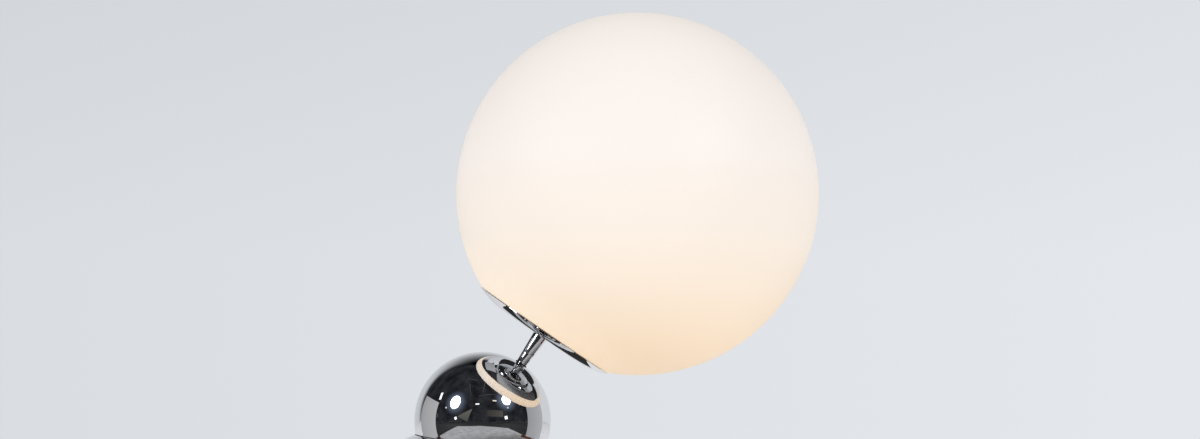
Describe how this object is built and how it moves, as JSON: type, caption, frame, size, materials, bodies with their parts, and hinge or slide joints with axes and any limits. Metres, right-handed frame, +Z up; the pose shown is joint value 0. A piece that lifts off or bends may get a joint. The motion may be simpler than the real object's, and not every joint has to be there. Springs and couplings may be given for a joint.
{
  "type": "globe table lamp",
  "caption": "Opal glass globe on a short tapered chrome stem that leans out of a chrome ball; the ball turns and tilts in the round seat of a chrome domed base.",
  "frame": {"origin": "on the table, on the dome's vertical axis, in the middle of the felt foot", "axes": "+Z up, +X the way the stem leans at rest, +Y to the back, where the mains inlet is"},
  "size_m": [0.541, 0.4, 0.6079],
  "materials": {
    "chrome": "mirror-polished chrome plate",
    "opal_glass": "satin-smooth white opal glass, dense enough to hide the lamp inside",
    "zinc_steel": "bright zinc-plated steel",
    "spring_steel": "bare spring steel",
    "cast_iron": "black-painted cast iron",
    "felt": "black felt",
    "black_nylon": "black nylon",
    "bearing_bronze": "sintered bearing bronze",
    "friction_lining": "pressed fibre lining",
    "clear_silicone": "milky silicone rubber",
    "white_holder": "white moulded lampholder plastic",
    "brass": "bright brass",
    "nickel_brass": "nickel-plated screw cap",
    "lamp_white": "white lamp body",
    "lamp_opal": "opal lamp diffuser",
    "aluminium": "bare aluminium plate",
    "lead_sheath": "white lead sheath"
  },
  "bodies": {
    "base": {"base_dome": "chrome", "base_plate": "zinc_steel", "foot_pad": "felt", "ballast_disc": "cast_iron", "base_screws": "zinc_steel", "ballast_bolts": "zinc_steel", "seat_ring": "black_nylon", "post_housing": "cast_iron", "housing_screws": "zinc_steel", "swivel_bush_upper": "bearing_bronze", "swivel_bush_lower": "bearing_bronze", "thrust_washer": "bearing_bronze", "inlet_bush": "black_nylon", "inlet_nut": "black_nylon", "switch_body": "black_nylon", "switch_bezel": "chrome", "terminal_block": "white_holder", "terminal_screws": "brass", "base_lead": "lead_sheath", "switch_lead": "lead_sheath"},
    "button": {"switch_button": "chrome"},
    "swivel": {"swivel_post": "zinc_steel", "post_washer": "zinc_steel", "post_nut": "zinc_steel", "post_lead": "lead_sheath"},
    "head": {"tilt_fork": "zinc_steel", "tilt_pin": "zinc_steel", "tilt_nut": "zinc_steel", "friction_washers": "friction_lining", "spring_washers": "zinc_steel", "ball_shell": "chrome", "stem_washer": "black_nylon", "stem_sleeve_lower": "chrome", "stem_sleeve_upper": "chrome", "stem_core": "zinc_steel", "globe_cap": "chrome", "cap_gasket": "clear_silicone", "gallery_spacer": "zinc_steel", "gallery_plate": "zinc_steel", "gallery_nut": "zinc_steel", "globe_clips": "spring_steel", "clip_rivets": "zinc_steel", "holder_cap": "white_holder", "holder_body": "white_holder", "holder_shell": "brass", "holder_contact": "brass", "head_lead": "lead_sheath"},
    "lamp": {"lamp_cap": "nickel_brass", "lamp_contact": "brass", "lamp_body": "lamp_white", "led_plate": "aluminium", "lamp_diffuser": "lamp_opal"},
    "globe": {"globe_glass": "opal_glass"}
  },
  "joints": [
    {"name": "swivel_turn", "type": "hinge", "parent": "base", "child": "swivel", "pos_m": [0.0203, 0, 0.1586], "axis": [0, 0, 1], "range_deg": [-170, 170]},
    {"name": "head_tilt", "type": "hinge", "parent": "swivel", "child": "head", "pos_m": [0.0203, 0, 0.1586], "axis": [0, 1, 0], "range_deg": [-34.4, 15.6]},
    {"name": "globe_lift", "type": "slide", "parent": "head", "child": "globe", "axis": [0.565, 0, 0.8251], "range_m": [0, 0.2]},
    {"name": "lamp_turn", "type": "hinge", "parent": "head", "child": "lamp", "pos_m": [0.0203, 0, 0.1586], "axis": [0.565, 0, 0.8251], "continuous": true},
    {"name": "switch_press", "type": "slide", "parent": "base", "child": "button", "axis": [0.6943, -0.5826, -0.4226], "range_m": [0, 0.002], "stiffness_N_per_m": 500, "springref_m": -0.002}
  ]
}
